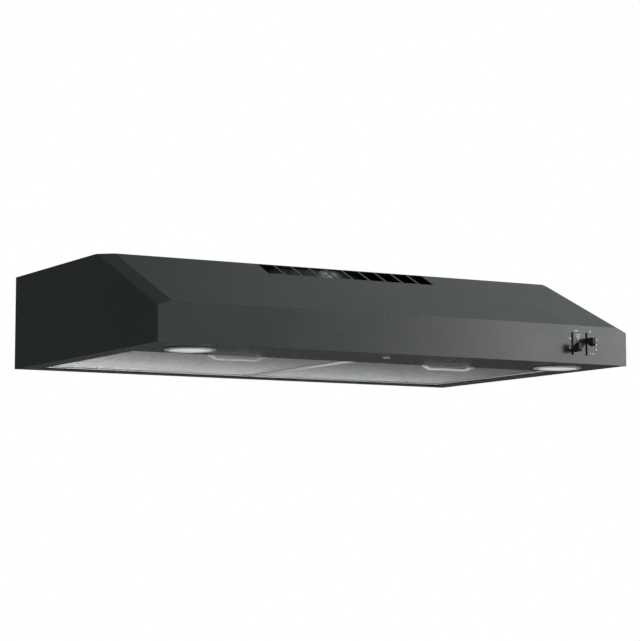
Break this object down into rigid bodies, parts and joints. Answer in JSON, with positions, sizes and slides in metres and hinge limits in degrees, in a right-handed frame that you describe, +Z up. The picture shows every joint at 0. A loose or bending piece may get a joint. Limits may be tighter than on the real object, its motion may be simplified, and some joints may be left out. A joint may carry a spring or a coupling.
{
  "type": "under cabinet range hood",
  "caption": "Folded-steel hood for mounting under a kitchen cabinet: sloped front with vents, mesh filters, lamps, slide switches, blower and duct collar.",
  "frame": {"origin": "middle of the top panel's outer face, where it meets the underside of the cabinet", "axes": "+X to the right seen from the front, +Y towards the wall, +Z up"},
  "size_m": [0.759, 0.5191, 0.1658],
  "materials": {
    "black_paint": "satin",
    "galvanised_steel": "satin",
    "filter_frame": "satin",
    "filter_mesh": "satin",
    "bright_metal": "polished",
    "plain_steel": "satin",
    "lamp_trim": "gloss",
    "lamp_lens": "frosted",
    "lamp_glass": "frosted",
    "ceramic": "matte",
    "black_plastic": "satin",
    "black_rubber": "matte"
  },
  "bodies": {
    "hood": {"blower_housing": "black_paint", "inlet_plate": "black_paint", "front_panel": "black_paint", "top_panel": "black_paint", "left_side_panel": "black_paint", "right_side_panel": "black_paint", "back_panel": "black_paint", "lamp_panel": "black_paint", "left_rail": "black_paint", "right_rail": "black_paint", "rear_rail": "black_paint", "centre_plug": "black_paint", "rear_port_plate": "galvanised_steel", "left_lamp_can": "galvanised_steel", "right_lamp_can": "galvanised_steel", "duct_collar": "galvanised_steel", "outlet_box": "galvanised_steel", "motor_bracket": "galvanised_steel", "switch_bracket": "galvanised_steel", "wiring_box": "galvanised_steel", "wiring_box_cover": "galvanised_steel", "motor_capacitor": "bright_metal", "motor": "plain_steel", "damper_rod": "plain_steel", "port_plate_screw_1": "plain_steel", "port_plate_screw_2": "plain_steel", "bracket_screw_1": "plain_steel", "bracket_screw_2": "plain_steel", "bracket_screw_3": "plain_steel", "cover_screw_1": "plain_steel", "cover_screw_2": "plain_steel", "left_lamp_bezel": "lamp_trim", "right_lamp_bezel": "lamp_trim", "left_lamp_lens": "lamp_lens", "right_lamp_lens": "lamp_lens", "left_lamp_bulb": "lamp_glass", "right_lamp_bulb": "lamp_glass", "left_lamp_socket": "ceramic", "right_lamp_socket": "ceramic", "terminal_block": "ceramic", "fan_switch": "black_plastic", "light_switch": "black_plastic", "cable_bushing": "black_rubber"},
    "left_filter": {"left_filter_frame": "filter_frame", "left_filter_mesh": "filter_mesh", "left_filter_foil": "filter_mesh", "left_filter_pull": "bright_metal", "left_filter_spring_1": "plain_steel", "left_filter_spring_2": "plain_steel"},
    "right_filter": {"right_filter_frame": "filter_frame", "right_filter_mesh": "filter_mesh", "right_filter_foil": "filter_mesh", "right_filter_pull": "bright_metal", "right_filter_spring_1": "plain_steel", "right_filter_spring_2": "plain_steel"},
    "impeller": {"impeller": "black_plastic", "impeller_shaft": "plain_steel"},
    "damper": {"damper_flap": "galvanised_steel"},
    "fan_control": {"fan_knob": "black_plastic"},
    "light_control": {"light_knob": "black_plastic"}
  },
  "joints": [
    {"name": "left_filter_swing", "type": "hinge", "parent": "hood", "child": "left_filter", "pos_m": [-0.17455, 0.222, -0.136], "axis": [1, 0, 0], "range_deg": [0, 80]},
    {"name": "right_filter_swing", "type": "hinge", "parent": "hood", "child": "right_filter", "pos_m": [0.17455, 0.222, -0.136], "axis": [1, 0, 0], "range_deg": [0, 80]},
    {"name": "impeller_spin", "type": "hinge", "parent": "hood", "child": "impeller", "pos_m": [-0.04, 0.055, -0.045], "axis": [0, 0, 1], "continuous": true},
    {"name": "damper_swing", "type": "hinge", "parent": "hood", "child": "damper", "pos_m": [0, 0.2308, 0.0085], "axis": [-1, 0, 0], "range_deg": [0, 75]},
    {"name": "fan_slide", "type": "slide", "parent": "hood", "child": "fan_control", "axis": [0, 0, 1], "range_m": [0, 0.0155]},
    {"name": "light_slide", "type": "slide", "parent": "hood", "child": "light_control", "axis": [0, 0, 1], "range_m": [-0.0155, 0]}
  ]
}
